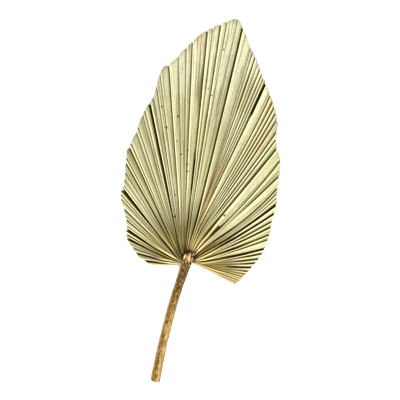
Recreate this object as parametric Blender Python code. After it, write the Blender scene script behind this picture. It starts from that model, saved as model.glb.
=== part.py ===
"""Dried palm leaf lying on its back: a pleated fan blade and its cut stalk.

The leaf is modelled with its hub at the origin, its tip along +Y and the table at z = 0,
then its parent empty moves it so that the origin is the middle of its footprint.
"""
import math

import bmesh
import bpy
import numpy as np
from mathutils import Matrix, Vector

MM = 0.001
WELD = 0.000001

# Outline of the blade round the hub: angle in degrees clockwise from the tip, radius in mm
RIM = (
    (-107.0, 35.7), (-97.0, 46.0), (-88.0, 53.1), (-82.0, 60.0), (-69.0, 68.5),
    (-62.8, 77.0), (-57.0, 90.0), (-53.0, 93.0), (-46.7, 104.0), (-41.4, 118.0),
    (-34.0, 132.5), (-28.0, 150.0), (-23.9, 161.0), (-20.2, 184.0), (-17.0, 190.0),
    (-13.0, 203.0), (-8.0, 219.5), (-4.5, 228.7), (-1.0, 236.0), (1.1, 226.0),
    (3.1, 215.3), (6.3, 203.0), (11.3, 184.0), (16.0, 171.0), (20.6, 156.5),
    (23.2, 144.0), (26.0, 136.5), (29.7, 131.0), (34.0, 120.5), (38.3, 110.5),
    (44.4, 101.0), (51.8, 89.0), (58.7, 82.7), (67.9, 74.5), (82.3, 61.0), (101.6, 50.1),
)

# Valley folds, clockwise: angle at the rim and strength (0 to 1).
# The angles are round FOLD_FOCUS, where the folds would meet, from a line LEAN degrees left of
# the tip, and were read by eye.
LEAN = 12.7
FOLD_FOCUS = (0.1, -6.8)
FOLDS = (
    (-82.9, 0.3), (-77.9, 0.8), (-71.6, 0.7), (-67.0, 0.35), (-64.8, 0.2), (-62.2, 1.0), (-59.4, 0.5),
    (-55.9, 1.0), (-53.1, 0.5), (-49.6, 0.35), (-47.8, 0.3), (-45.0, 0.6), (-42.8, 0.3), (-41.0, 0.55),
    (-38.0, 1.0), (-36.2, 0.3), (-34.4, 0.3), (-31.6, 0.5), (-29.2, 0.7), (-27.6, 0.3), (-24.8, 0.6),
    (-23.0, 0.35), (-20.8, 0.3), (-18.9, 0.4), (-16.4, 0.3), (-14.9, 0.35), (-13.0, 1.0), (-10.6, 0.3),
    (-8.8, 0.4), (-5.2, 0.6), (-1.7, 0.2), (0.3, 0.3), (1.8, 0.5), (4.8, 0.7), (6.3, 0.3), (7.9, 0.6),
    (9.4, 0.4), (11.4, 0.2), (13.5, 0.85), (15.0, 0.25), (16.3, 0.3), (17.4, 0.5), (18.3, 0.6),
    (19.2, 0.35), (20.1, 0.35), (21.0, 0.5), (21.9, 0.4), (23.0, 1.0), (25.6, 0.4), (26.8, 0.3),
    (27.9, 0.4), (29.1, 0.4), (30.4, 0.5), (31.6, 0.35), (33.1, 0.4), (34.5, 0.5), (36.4, 0.6),
    (40.5, 0.7), (42.1, 0.4), (43.5, 0.35), (44.9, 0.5), (48.2, 0.75), (50.4, 0.4), (52.0, 0.35),
    (54.0, 0.9), (57.2, 0.8), (59.0, 0.5), (60.8, 0.6), (63.1, 0.65), (67.0, 0.8), (70.0, 0.6),
    (75.1, 0.95), (78.2, 0.7), (81.4, 0.75), (84.5, 0.7), (88.0, 0.8), (91.5, 0.65), (94.6, 0.5),
    (96.8, 0.4), (99.3, 0.5), (101.5, 0.5), (103.6, 0.5), (106.4, 0.3),
)
SHALLOW_DEPTH = 0.26
DEEP_DEPTH = 0.40

# One pleat from fold to fold: a narrow flat bottom, a steep riser, a ridge, a wide slope
FLAT_SHARE = 0.14
RIDGE_SHARE = 0.44
SHALLOW_WIDTH = 0.7
FULL_WIDTH = 2.2
TOOTH_LENGTH = 1.1
FLAT_TOOTH = 0.4

# The blade as a sheet
RIM_STEPS = 800
BLADE_DROP = 1.0
BLADE_RINGS = 9
RING_CROWDING = 1.35
HUB_HEIGHT = 3.2
HUB_FLAT_RADIUS = 12.0
HUB_SLOPE_RADIUS = 40.0
TIP_CURL = 7.0
TIP_CURL_START = 150.0
TIP_CURL_END = 236.0
SIDE_CURL_START = 45.0
SIDE_CURL_END = 76.0
LEFT_CURL = 3.0
RIGHT_CURL = 4.5

# Where the blade touches the table, by fold angle and ring: three single points, and inside them
# one fold's flat bottom between two rings. The other folds stay a little above the table.
TABLE_GAP = 0.25
TOUCHING_POINTS = ((-45.0, 6), (13.5, 6), (63.1, 6))
FLAT_FOLD = 13.5
FLAT_FOLD_RINGS = (4, 5)

# Where the folds leave the hub: rim angle of a fold and its angle on the hub's edge
HUB_EDGE_RADIUS = 5.15
FAN_RIM_ANGLES = (-107.0, -53.4, -26.0, 1.0, 46.0, 101.6)
FAN_HUB_ANGLES = (-92.0, -66.0, -40.0, 0.0, 55.0, 103.0)

# Stalk: centre line and half width at stations from the hub to the cut end
STALK_STATIONS = (
    (0.0, 0.0, 4.8), (-2.4, -22.9, 4.2), (-3.9, -40.0, 4.3),
    (-5.0, -77.1, 4.2), (-4.6, -105.0, 4.6), (-4.4, -116.4, 4.8),
)
STALK_FLATNESS = 0.85
STALK_BEVEL_STEPS = 6
STALK_ARCH = 0.6
DOME_STEPS = 4
DOME_START = 0.35

# Knob where stalk and blade meet
KNOB_CENTRE = (0.8, 5.0, 7.0)
KNOB_RADIUS = 6.1
KNOB_HALF_HEIGHT = 2.5
KNOB_LOBES = 7
KNOB_LOBE_DEPTH = 0.12
KNOB_DIMPLE = 0.35
KNOB_DIMPLE_RADIUS = 0.35
KNOB_SEGMENTS = 28
KNOB_BANDS = 12

# Colours
STRAW = (0.55, 0.50, 0.27)
STALK_BROWN = (0.46, 0.29, 0.11)
LEAF_ROUGHNESS = 0.62
STALK_ROUGHNESS = 0.6


def smooth_step(value):
    """0 below 0, 1 above 1 and a soft rise between."""
    value = min(max(value, 0.0), 1.0)
    return value * value * (3.0 - 2.0 * value)


def new_material(name, colour, roughness):
    material = bpy.data.materials.new(name)
    material.use_nodes = True
    shader = material.node_tree.nodes["Principled BSDF"]
    shader.inputs["Base Color"].default_value = (*colour, 1.0)
    shader.inputs["Roughness"].default_value = roughness
    shader.inputs["Metallic"].default_value = 0.0
    return material


def new_collection(name):
    collection = bpy.data.collections.new(name)
    bpy.context.scene.collection.children.link(collection)
    return collection


def mesh_object(name, bm, collection):
    mesh = bpy.data.meshes.new(name)
    bm.to_mesh(mesh)
    bm.free()
    obj = bpy.data.objects.new(name, mesh)
    collection.objects.link(obj)
    return obj


def rim_radius(angle):
    """Radius of the outline at an angle, with soft turns between the outline's points."""
    angles = np.array([point[0] for point in RIM])
    radii = np.array([point[1] for point in RIM])
    tangents = np.gradient(radii, angles)
    i = int(np.clip(np.searchsorted(angles, angle) - 1, 0, len(RIM) - 2))
    span = angles[i + 1] - angles[i]
    t = float(np.clip((angle - angles[i]) / span, 0.0, 1.0))
    near = (2 * t**3 - 3 * t**2 + 1) * radii[i] + (t**3 - 2 * t**2 + t) * span * tangents[i]
    far = (3 * t**2 - 2 * t**3) * radii[i + 1] + (t**3 - t**2) * span * tangents[i + 1]
    return near + far


def fold_angles():
    """Rim angle round the hub of each valley fold, from its angle round the folds' focus."""
    hub_angles = np.linspace(RIM[0][0], RIM[-1][0], RIM_STEPS)
    radii = np.array([rim_radius(angle) for angle in hub_angles])
    across = radii * np.sin(np.radians(hub_angles)) - FOLD_FOCUS[0]
    along = radii * np.cos(np.radians(hub_angles)) - FOLD_FOCUS[1]
    focus_angles = np.degrees(np.arctan2(across, along)) + LEAN
    return [float(np.interp(fold[0], focus_angles, hub_angles)) for fold in FOLDS]


def pleat_list():
    """Each pleat as its first fold's angle, its last fold's angle and its depth over width."""
    angles = fold_angles()
    depths = [SHALLOW_DEPTH + (DEEP_DEPTH - SHALLOW_DEPTH) * fold[1] for fold in FOLDS]
    return list(zip(angles, angles[1:], depths))


def blade_columns():
    """Lines from hub to rim: angle, tooth at the rim (0 to 1), relief (0 or 1), pleat, fold."""
    columns = []
    pleats = pleat_list()
    for pleat, (fold, _) in zip(pleats, FOLDS):
        first, last, _ = pleat
        span = last - first
        columns.append((first, 0.0, 0.0, pleat, fold))
        columns.append((first + FLAT_SHARE * span, FLAT_TOOTH, 0.0, pleat, fold))
        columns.append((first + RIDGE_SHARE * span, 1.0, 1.0, pleat, None))
    columns.append((pleats[-1][1], 0.0, 0.0, pleats[-1], None))
    return columns


def plan_point(angle, tooth, share):
    """Place on the table of a fold line's point, share 0 at the hub and 1 at the rim."""
    hub_angle = math.radians(np.interp(angle, FAN_RIM_ANGLES, FAN_HUB_ANGLES))
    rim_angle = math.radians(angle)
    reach = rim_radius(angle) - TOOTH_LENGTH * (1.0 - tooth)
    start = HUB_EDGE_RADIUS * Vector((math.sin(hub_angle), math.cos(hub_angle)))
    end = reach * Vector((math.sin(rim_angle), math.cos(rim_angle)))
    return start.lerp(end, share)


def underside_height(place):
    """Height of the folds' lower edges: flat on the table, raised at hub, tip and sides."""
    hub = 1.0 - smooth_step((place.length - HUB_FLAT_RADIUS) / (HUB_SLOPE_RADIUS - HUB_FLAT_RADIUS))
    tip = max(0.0, (place.y - TIP_CURL_START) / (TIP_CURL_END - TIP_CURL_START))
    side = max(0.0, (abs(place.x) - SIDE_CURL_START) / (SIDE_CURL_END - SIDE_CURL_START))
    side_curl = LEFT_CURL if place.x < 0 else RIGHT_CURL
    return HUB_HEIGHT * hub + TIP_CURL * tip**2 + side_curl * side**2


def touches_table(fold, tooth, ring):
    """Whether a fold's point on a ring is one that carries the blade on the table."""
    foot = tooth == 0.0 and (fold, ring) in TOUCHING_POINTS
    return foot or (fold == FLAT_FOLD and ring in FLAT_FOLD_RINGS)


def pleat_height(pleat, share):
    """Height of a pleat's ridge, which fades where the folds crowd together at the hub."""
    first, last, depth = pleat
    width = (plan_point(first, 0.0, share) - plan_point(last, 0.0, share)).length
    fade = smooth_step((width - SHALLOW_WIDTH) / (FULL_WIDTH - SHALLOW_WIDTH))
    square_on = (last - first) * math.pi / 180.0 * plan_point(first, 0.0, share).length
    return depth * fade * min(width, square_on)


def build_blade(collection):
    """A grid bent into the pleated fan, then thickened straight down so that no fold crosses."""
    columns = blade_columns()
    bm = bmesh.new()
    bmesh.ops.create_grid(bm, x_segments=len(columns) - 1, y_segments=BLADE_RINGS, size=1.0)
    for vertex in bm.verts:
        column = round((vertex.co.x + 1.0) / 2.0 * (len(columns) - 1))
        ring = round((vertex.co.y + 1.0) / 2.0 * BLADE_RINGS)
        share = (ring / BLADE_RINGS) ** RING_CROWDING
        angle, tooth, relief, pleat, fold = columns[column]
        place = plan_point(angle, tooth, share)
        gap = 0.0 if touches_table(fold, tooth, ring) else TABLE_GAP + underside_height(place)
        height = BLADE_DROP + gap + relief * pleat_height(pleat, share)
        vertex.co = Vector((place.x, place.y, height)) * MM
    bmesh.ops.triangulate(bm, faces=bm.faces[:], quad_method="FIXED")
    sheet = bm.faces[:] + bm.edges[:]
    lower = bmesh.ops.extrude_face_region(bm, geom=sheet, use_keep_orig=True)["geom"]
    lower_vertices = [item for item in lower if isinstance(item, bmesh.types.BMVert)]
    bmesh.ops.translate(bm, verts=lower_vertices, vec=(0.0, 0.0, -BLADE_DROP * MM))
    bmesh.ops.recalc_face_normals(bm, faces=bm.faces[:])
    blade = mesh_object("leaf_blade", bm, collection)
    blade.data.materials.append(new_material("dried_straw_leaf", STRAW, LEAF_ROUGHNESS))
    return blade


def stalk_points():
    """Centre line with half widths: a dome past the hub, then the stations to the cut end."""
    hub_x, hub_y, hub_radius = STALK_STATIONS[0]
    points = []
    for step in range(DOME_STEPS):
        turn = math.pi / 2.0 * (1.0 - (step + DOME_START) / DOME_STEPS)
        points.append((hub_x, hub_y + hub_radius * math.sin(turn), hub_radius * math.cos(turn)))
    return points + list(STALK_STATIONS)


def stalk_axis_height(y, half_width):
    """The stalk lies on its hub end and its cut end and arches a little between them."""
    share = min(max(y / STALK_STATIONS[-1][1], 0.0), 1.0)
    full = STALK_STATIONS[0][2]
    seat = full if y > 0 else half_width
    return (seat * STALK_FLATNESS + STALK_ARCH * math.sin(math.pi * share)) / STALK_FLATNESS


def build_stalk_tube(collection):
    curve = bpy.data.curves.new("stalk_line", "CURVE")
    curve.dimensions = "3D"
    curve.bevel_depth = MM
    curve.bevel_resolution = STALK_BEVEL_STEPS
    curve.use_fill_caps = True
    points = stalk_points()
    spline = curve.splines.new("POLY")
    spline.points.add(len(points) - 1)
    for point, (x, y, half_width) in zip(spline.points, points):
        point.co = (x * MM, y * MM, stalk_axis_height(y, half_width) * MM, 1.0)
        point.radius = half_width
    line = bpy.data.objects.new("stalk_line", curve)
    collection.objects.link(line)
    tube = bpy.data.meshes.new_from_object(line.evaluated_get(bpy.context.evaluated_depsgraph_get()))
    bpy.data.objects.remove(line)
    bm = bmesh.new()
    bm.from_mesh(tube)
    bpy.data.meshes.remove(tube)
    bmesh.ops.remove_doubles(bm, verts=bm.verts[:], dist=WELD)
    bmesh.ops.transform(bm, matrix=Matrix.Scale(STALK_FLATNESS, 4, (0.0, 0.0, 1.0)), verts=bm.verts[:])
    bmesh.ops.recalc_face_normals(bm, faces=bm.faces[:])
    return mesh_object("leaf_stalk", bm, collection)


def build_knob(collection):
    """A flat lobed button with a dimple, from a sphere."""
    bm = bmesh.new()
    bmesh.ops.create_uvsphere(bm, u_segments=KNOB_SEGMENTS, v_segments=KNOB_BANDS, radius=1.0)
    for vertex in bm.verts:
        flat = Vector((vertex.co.x, vertex.co.y))
        turn = math.atan2(flat.y, flat.x)
        radius = KNOB_RADIUS * (1.0 + KNOB_LOBE_DEPTH * math.cos(KNOB_LOBES * turn))
        dimple = KNOB_DIMPLE * math.exp(-((flat.length / KNOB_DIMPLE_RADIUS) ** 2))
        rise = vertex.co.z * (1.0 - dimple) if vertex.co.z > 0 else vertex.co.z
        place = Vector((flat.x * radius, flat.y * radius, rise * KNOB_HALF_HEIGHT))
        vertex.co = (place + Vector(KNOB_CENTRE)) * MM
    return mesh_object("knob_form", bm, collection)


def build_stalk(collection, cutters):
    stalk = build_stalk_tube(collection)
    knob = build_knob(cutters)
    knob.parent = stalk
    join = stalk.modifiers.new("join_knob", "BOOLEAN")
    join.operation = "UNION"
    join.solver = "EXACT"
    join.object = knob
    knob.hide_render = True
    knob.hide_viewport = True
    stalk.data.materials.append(new_material("dried_brown_stalk", STALK_BROWN, STALK_ROUGHNESS))
    return stalk


def centre_footprint(parent, parts):
    """Move the parent so that the origin is the middle of the footprint, on the table."""
    depsgraph = bpy.context.evaluated_depsgraph_get()
    corners = []
    for part in parts:
        shape = part.evaluated_get(depsgraph)
        corners += [shape.matrix_world @ vertex.co for vertex in shape.data.vertices]
    middle_x = (min(c.x for c in corners) + max(c.x for c in corners)) / 2.0
    middle_y = (min(c.y for c in corners) + max(c.y for c in corners)) / 2.0
    parent.location = (-middle_x, -middle_y, -min(c.z for c in corners))


def main():
    for obj in list(bpy.data.objects):
        bpy.data.objects.remove(obj)
    leaf = new_collection("dried_palm_leaf")
    cutters = new_collection("cutters")
    parent = bpy.data.objects.new("palm_leaf_frame", None)
    leaf.objects.link(parent)
    parts = [build_blade(leaf), build_stalk(leaf, cutters)]
    for part in parts:
        part.parent = parent
    centre_footprint(parent, parts)


main()
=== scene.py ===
"""Looks of the dried palm leaf: finer blade, fibrous stalk and knob, floor, light and camera.

Lengths are in mm in the leaf's own frame, which has the hub at its origin, the tip along +Y
and the table at z = 0. HUB_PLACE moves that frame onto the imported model.
"""
import math

import bpy
import numpy as np
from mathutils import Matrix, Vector, noise

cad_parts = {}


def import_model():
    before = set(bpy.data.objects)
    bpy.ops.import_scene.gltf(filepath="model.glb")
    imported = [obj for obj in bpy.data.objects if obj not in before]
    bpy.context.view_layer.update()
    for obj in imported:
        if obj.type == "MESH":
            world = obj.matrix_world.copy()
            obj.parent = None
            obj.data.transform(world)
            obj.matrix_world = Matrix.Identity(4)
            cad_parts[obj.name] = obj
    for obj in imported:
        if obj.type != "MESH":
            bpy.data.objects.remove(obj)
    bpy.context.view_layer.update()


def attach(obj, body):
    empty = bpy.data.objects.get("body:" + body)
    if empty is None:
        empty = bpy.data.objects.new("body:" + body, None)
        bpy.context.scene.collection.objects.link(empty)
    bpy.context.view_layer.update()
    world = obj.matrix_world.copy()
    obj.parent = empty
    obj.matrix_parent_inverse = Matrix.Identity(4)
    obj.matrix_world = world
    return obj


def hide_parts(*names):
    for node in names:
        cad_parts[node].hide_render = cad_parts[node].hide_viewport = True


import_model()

MM = 0.001
HUB_PLACE = (3.6385, -59.4209)

# Outline of the blade round the hub: angle in degrees clockwise from the tip, radius in mm
RIM = (
    (-107.0, 34.8), (-102.0, 38.2), (-97.0, 44.4), (-88.0, 52.7), (-82.0, 60.0), (-69.0, 68.5),
    (-62.8, 77.0), (-57.0, 90.0), (-53.0, 93.0), (-46.7, 104.0), (-41.4, 118.0),
    (-34.0, 132.5), (-28.0, 150.0), (-23.9, 161.0), (-20.2, 184.0), (-17.0, 190.0),
    (-13.0, 203.0), (-8.0, 219.5), (-4.6, 227.8), (-2.8, 232.3), (-0.75, 234.9), (1.1, 226.0),
    (3.1, 215.3), (6.3, 203.0), (11.3, 184.0), (16.0, 171.0), (20.6, 156.5),
    (23.2, 144.0), (26.0, 136.5), (29.7, 131.0), (34.0, 120.5), (38.3, 110.5),
    (44.4, 101.0), (51.8, 89.0), (58.7, 82.7), (67.9, 74.5), (82.3, 61.0), (101.6, 50.1),
)

# Valley folds, clockwise. For each one: its angle at the rim; how dark the painted shade of its
# crease is, 0 to 1; how pale the strip after it is, -1 to 1, partly the strip's own tone and partly
# painted light and shade, paler where it faces the light and darker where it faces away; and how far
# from the hub it starts to show, in mm. The angles are round FOLD_FOCUS, where the folds would meet,
# from a line LEAN degrees left of the tip.
LEAN = 12.7
FOLD_FOCUS = (0.1, -6.8)
FOLDS = (
    (-82.9, 0.8, 0.6, 6), (-77.8, 1.05, 1.0, 6), (-71.4, 0.85, 0.4, 10),
    (-67.0, 0.35, 0.9, 34), (-64.8, 0.2, 0.8, 40), (-61.9, 1.45, -0.5, 18), (-59.2, 0.8, -1.0, 44),
    (-55.7, 1.3, 1.0, 8), (-53.1, 0.55, 0.9, 48), (-49.7, 0.85, 0.3, 36), (-47.9, 0.5, -0.1, 46),
    (-45.1, 0.85, 0.9, 30), (-42.1, 0.7, 0.8, 40), (-40.6, 0.5, -1.0, 34), (-38.0, 1.5, 1.0, 8),
    (-36.0, 0.35, 0.6, 54), (-33.6, 0.25, 0.4, 50), (-31.6, 0.3, 0.1, 46), (-29.2, 1.05, 0.4, 10),
    (-27.7, 0.4, -0.4, 50), (-24.7, 0.95, 0.7, 26), (-23.2, 0.5, 0.0, 56), (-19.6, 0.4, 0.4, 46),
    (-18.2, 0.45, 0.1, 46), (-15.4, 0.35, -0.2, 54), (-14.3, 0.3, 0.6, 60), (-12.2, 1.45, 0.1, 14),
    (-10.4, 0.25, -0.1, 64), (-8.9, 0.55, 0.5, 22), (-7.4, 0.25, 0.1, 60), (-4.7, 0.65, 0.3, 40),
    (-1.9, 0.2, 0.1, 24), (0.2, 0.25, 0.0, 64), (1.8, 0.5, 0.3, 56), (5.2, 0.9, 0.2, 20),
    (6.5, 0.3, 0.3, 64), (8.2, 0.8, 0.4, 26), (9.5, 0.2, 0.3, 70), (11.8, 0.12, 0.3, 70),
    (13.3, 1.05, 0.15, 26), (16.4, 0.4, 0.2, 60), (17.2, 0.45, -0.1, 24), (18.2, 0.7, 0.5, 60),
    (19.4, 0.35, 0.1, 50), (20.4, 0.7, 0.4, 50), (21.4, 0.75, 0.2, 16), (22.2, 0.6, 0.2, 60),
    (23.2, 0.75, 0.6, 40), (26.0, 0.8, 0.1, 16), (27.5, 0.75, 0.6, 50), (28.7, 0.9, 0.7, 44),
    (30.0, 0.9, 0.1, 18), (31.5, 0.8, 0.2, 50), (33.5, 1.0, 0.9, 44), (34.8, 0.9, 0.3, 50),
    (37.0, 0.8, 0.6, 14), (41.0, 0.9, 0.7, 16), (43.6, 0.3, 0.6, 50), (45.1, 0.8, 0.8, 66),
    (48.4, 1.0, -0.9, 10), (50.3, 0.5, 0.6, 50), (52.0, 0.4, 0.6, 54), (54.4, 1.35, 0.8, 8),
    (57.7, 1.2, 0.6, 10), (60.8, 1.0, 1.0, 44), (63.4, 1.0, 0.6, 36), (67.3, 0.95, 0.5, 20),
    (70.1, 0.7, 1.0, 40), (75.2, 1.15, 0.8, 10), (78.2, 1.05, 0.9, 44), (81.7, 1.05, 0.6, 40),
    (84.8, 1.0, 0.9, 44), (88.2, 1.1, 0.7, 30), (91.7, 0.95, 0.4, 44), (94.8, 0.85, 0.4, 40),
    (97.2, 0.72, 0.8, 6), (99.5, 0.5, 0.6, 30), (102.0, 0.68, 0.6, 6), (104.0, 0.55, 0.3, 30),
    (106.4, 0.5, 0.0, 6),
)
LASTING_ROOT = 28.0

# Shares of a fold's root: where it starts to show and shows whole, and where the pleat after it
# starts to stand up and stands whole
FOLD_SHOWS = (0.6, 1.4)
PLEAT_STANDS = (0.5, 1.3)

# Near the hub only the folds with a root up to LASTING_ROOT show, as painted lines of crease
# shade: half width in mm of the line at a fold of darkness 1, the share of the way to the next one
# that a line may take, how steeply its edge fades and how far out that starts
HUB_LINE_HALF_WIDTH = 0.85
HUB_LINE_SHARE = 0.27
HUB_LINE_EDGE = 1.4
HUB_LINE_CORE = 0.8
LEAST_HUB_GAP = 0.01

# The painted highlight on the crest after such a line: its width in mm, twice that in a pale
# pleat, and the share of the way to the next line that it may take. In half widths of the line:
# where it starts, how steeply it rises there, and from where its width is counted.
HUB_CREST_WIDTH = 0.76
HUB_CREST_SHARE = 0.58
HUB_CREST_START = 0.9
HUB_CREST_RISE = 1.6
HUB_CREST_BASE = 1.3

# Reach in mm where those lines give way to all folds, and where the boost of the lasting ones ends
HUB_LINES_END = (18.0, 44.0)
HUB_BOOST_END = (25.0, 70.0)
HUB_BOOST = 0.5

# Steps along the rim at which fold angles are matched to angles round the hub
RIM_STEPS = 800

# Where a fold gapes open, painted black as shadow in the gap: its angle, where the gap starts and
# ends from the hub, its darkness
FOLD_GAPS = (
    (23.2, 150.0, 200.0, 1.3), (41.0, 32.0, 51.0, 2.6), (18.2, 150.0, 200.0, 0.95),
    (16.4, 34.0, 92.0, 0.8), (19.4, 30.0, 80.0, 0.6), (-38.0, 32.0, 90.0, 1.9), (5.2, 62.0, 104.0, 1.2),
)
GAP_SOFTNESS = 5.0

# A pleat's section in mm: half width of the painted shade line at a fold of darkness 1, then the
# rise to the crest and the crest, which carries a painted highlight. Beside each is the share of the
# pleat's width that it may take.
DARK_HALF_WIDTH = 1.15
LEAST_DARK = 0.4
DARK_SHARE = 0.23
STRONG_EXTRA_SHARE = 0.19
LASTING_EXTRA_SHARE = 0.10
CREST_RISE = 0.45
CREST_RISE_SHARE = 0.1
CREST_WIDTH = 0.9
CREST_SHARE = 0.2
LEAST_SLOPE_SHARE = 0.02
PLEAT_DEPTH = 0.36

# Darkness of a fold's painted shade: from where to where it counts as strong and as gaping, where
# its line is black, where its pleat is seen apart and how fast the painted highlight on its crest shines
STRONG = (0.7, 1.2)
GAPING = (0.8, 1.2)
FULL_SHADE = 1.2
SEEN_STRENGTH = 0.4
SHINE = 1.6

# Width of a pleat in mm: where weak folds are lost and whole, over what width more a lasting
# line stays wide, the width at which a crest's painted highlight shines and the distance that stands
# for no painted shade
CROWDED_WIDTH = 1.0
ROOMY_WIDTH = 2.4
CROWDING_STEP = 0.6
LASTING_CREST_WIDTH = 0.7
CREST_FADE_WIDTH = 1.4
CREST_FADE_START = 0.6
UNSEEN_DISTANCE = 3.0

# The mesh: rings from hub to rim, closer together at the hub, and the sheet's depth in mm
BLADE_RINGS = 56
RING_CROWDING = 1.15
BLADE_DROP = 0.5

# The rim is cut back at the folds and humped between them, in mm. Shallow folds cut less, so do
# those right of RIGHT_NOTCH_FOLDS and narrow pleats, and the tip's own pleat is left whole.
NOTCH = 3.4
SHALLOW_NOTCH = 0.3
RIGHT_NOTCH_LOSS = 0.45
RIGHT_NOTCH_FOLDS = (45.0, 65.0)
FULL_NOTCH_WIDTH = 4.0
HUMP_POWER = 0.6
HUMP_MIDDLE = 0.35
HUMP_VARIETY = 0.45
HUMP_BEAT = 7.1
TIP_FOLD = 12.0
TIP_SPREAD = 3.0
# Darkness of the painted shade line along the blade's last edge
EDGE_DARK = 0.3

# Blade as a sheet
HUB_HEIGHT = 3.2
HUB_FLAT_RADIUS = 12.0
HUB_SLOPE_RADIUS = 40.0
TIP_CURL = 7.0
TIP_CURL_START = 150.0
TIP_CURL_END = 236.0
SIDE_CURL_START = 45.0
SIDE_CURL_END = 76.0
LEFT_CURL = 3.0
RIGHT_CURL = 4.5

# Where the folds leave the hub: a ring round HUB_RING_CENTRE, partly under the knob. Each fold
# angle of FAN_FOLDS starts at the ring angle beside it, clockwise from the tip's direction.
HUB_RING_CENTRE = (-0.5, 3.4)
HUB_RING_RADIUS = 7.9
HUB_INNER_RADIUS = 3.5
HUB_INNER_RINGS = 5
FAN_FOLDS = (
    -82.9, -77.9, -71.6, -62.0, -55.9, -38.0, -13.0, 0.3, 13.5, 23.0, 40.5, 54.0, 75.0, 96.8, 106.4,
)
FAN_STARTS = (
    -143.0, -140.0, -136.0, -131.0, -126.0, -112.0, -70.0, -40.0, -8.0, 9.0, 38.0, 78.0, 94.0, 100.0, 112.0,
)

# A fold leaves the ring and bends onto its ray from FOLD_FOCUS. Share of the ray where it bends;
# share of that bend at the left and right edge, and how far from an edge, in degrees, it is whole.
BEND_SHARE = 0.32
LEFT_EDGE_BEND = 0.5
RIGHT_EDGE_BEND = 0.0
EDGE_DEGREES = 32.0

# Folds lean on their neighbours: fold angle, and how far its path is pulled to the left near the
# hub and further out, in mm
SWAYS = (
    (-38.0, 0.0, 0.0), (-24.7, 0.1, 0.0), (-12.4, 0.7, 0.7), (-4.9, 1.1, 1.0), (1.8, 1.3, 1.3),
    (5.2, 0.3, 0.4), (8.2, 0.9, 0.5), (13.3, -0.3, -0.3), (16.2, -0.9, -0.7), (18.0, 3.4, -0.2),
    (20.2, 6.3, 2.0), (23.0, 7.4, 1.8), (25.8, 9.2, -2.0), (33.3, 7.8, 1.0), (36.8, 5.8, 2.0),
    (40.8, 2.7, -4.6), (45.0, 3.0, 1.0), (48.4, 4.8, -7.2), (54.4, 2.4, -2.0), (60.0, 0.0, -0.4),
    (66.0, 0.0, 0.0),
)

# Stalk: centre line and half width at stations from the hub to the cut end
STALK_STATIONS = (
    (-0.2, 0.0, 4.8), (-2.7, -22.9, 4.2), (-4.2, -40.0, 4.3),
    (-5.4, -77.1, 4.2), (-5.0, -105.0, 4.6), (-4.7, -115.8, 4.8),
)
STALK_FLATNESS = 0.85
STALK_ARCH = 0.6
STALK_RINGS = 150
STALK_SIDES = 48
DOME_RINGS = 8
END_RINGS = 6
END_BULGE = 1.5
RIPPLE = 0.05
KNOTS = 0.03

# Knob where stalk and blade meet
KNOB_CENTRE = (0.8, 5.0, 7.0)
KNOB_HALF_SIZE = (3.6, 4.8, 1.3)
CORE_BANDS = 24
CORE_SIDES = 48
CORE_POLE = 0.04
CORE_LUMPS = ((0.22, 1.6), (0.10, 5.0))
STRAND_RINGS = 14
STRAND_SIDES = 12
STRAND_FLATNESS = 0.8
STRAND_END = 0.03
LOBE_SINK = 1.2
LOBE_ARCH = 0.9
LOBE_LUMPS = 0.35
LOBE_CURL = 0.5

# Lobes and torn fibres of the knob: start, end, half width, height, paleness. The ends lie
# LOBE_SINK below that height, and the middle rises LOBE_ARCH above the ends.
KNOB_LOBES = (
    ((-3.7, 2.0), (-2.5, 7.9), 0.9, 7.6, 1.0), ((-1.2, -1.2), (-0.4, 9.4), 1.3, 8.4, 0.0),
    ((1.6, -0.8), (1.5, 10.0), 1.1, 8.4, 0.5), ((3.9, 1.5), (3.8, 6.5), 0.8, 7.6, 0.35),
    ((5.3, -1.0), (5.9, 1.2), 0.8, 6.6, 1.0), ((3.4, 7.6), (4.9, 9.6), 0.5, 7.0, 0.9),
    ((-3.9, -1.8), (-3.0, 0.6), 0.8, 7.0, 0.2), ((0.3, 1.5), (0.3, 7.0), 0.4, 9.6, 0.9),
    ((-0.2, -3.2), (0.1, -1.4), 0.7, 8.2, 0.1), ((2.6, -2.8), (2.9, -1.2), 0.6, 8.0, 0.5),
)

# Specks on the blade: place, radius and how orange they are
SPOTS = (
    (-55.6, 138.9, 1.0, 0.0), (-38.8, 133.4, 1.1, 0.0), (-47.2, 120.8, 1.2, 0.12), (-22.5, 104.0, 1.0, 0.1),
    (-20.0, 90.9, 1.0, 0.0), (-18.5, 84.4, 0.9, 0.0), (0.2, 78.9, 0.9, 0.1), (-20.7, 40.1, 1.3, 0.0),
    (24.9, 51.4, 1.2, 0.1), (-10.5, 204.6, 1.0, 0.6), (-35.0, 110.4, 0.8, 0.12), (-27.9, 98.9, 1.0, 0.15),
    (-16.5, 165.3, 0.7, 0.1), (-11.7, 160.0, 0.8, 0.1), (-12.2, 139.6, 0.9, 0.15), (-35.5, 149.6, 0.7, 0.1),
    (-24.8, 60.3, 0.9, 0.2),
)

# Painted shadow round the knob: middle, where the dark starts to fade, where it ends, its share
KNOB_SHADOWS = ((0.8, 5.0, 5.6, 9.0, 1.0), (-6.0, 8.0, 3.0, 13.0, 0.9), (5.6, 9.4, 1.5, 6.5, 0.85))

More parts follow.
